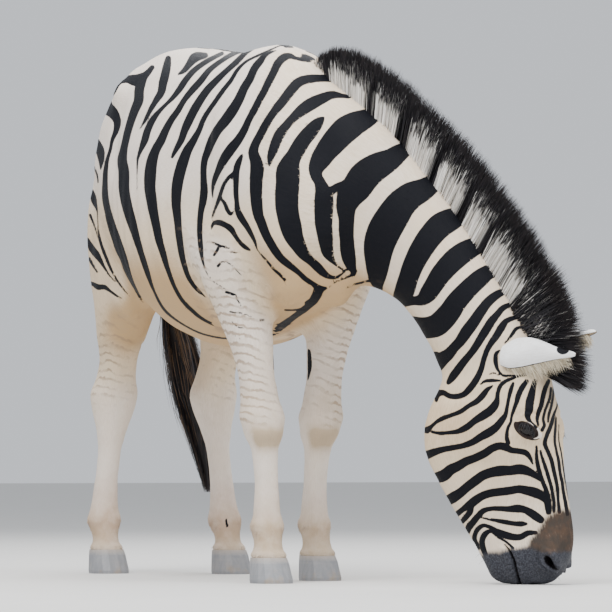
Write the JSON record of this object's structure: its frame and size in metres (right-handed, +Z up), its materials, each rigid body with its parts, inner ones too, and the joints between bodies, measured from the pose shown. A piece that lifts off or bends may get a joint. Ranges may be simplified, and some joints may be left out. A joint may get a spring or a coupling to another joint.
{
  "type": "plains zebra, life-size standing model",
  "caption": "Life-size model of a grazing plains zebra, one forefoot forward, neck turned left and muzzle on the floor.",
  "frame": {"origin": "on the floor, below the middle of the whole animal's box", "axes": "+X forwards along the trunk, +Y to the animal's left, +Z up"},
  "size_m": [1.8318, 0.8998, 1.3655],
  "materials": {
    "coat": "short flat hair, cream and brown-white with near-black stripes, matt with a soft sheen",
    "hair": "coarse upright hair, black with cream bands at the roots of the mane",
    "hoof": "worn grey horn",
    "eye": "wet, very dark brown"
  },
  "bodies": {
    "root": {"trunk": "coat", "neck": "coat", "head": "coat", "leg_fore_right": "coat", "leg_fore_left": "coat", "leg_hind_right": "coat", "leg_hind_left": "coat", "tail_dock": "coat", "ear_right": "coat", "ear_left": "coat", "mane": "hair", "forelock": "hair", "tail_tuft": "hair", "hoof_fore_right": "hoof", "hoof_fore_left": "hoof", "hoof_hind_right": "hoof", "hoof_hind_left": "hoof", "eye_right": "eye", "eye_left": "eye"}
  },
  "joints": []
}
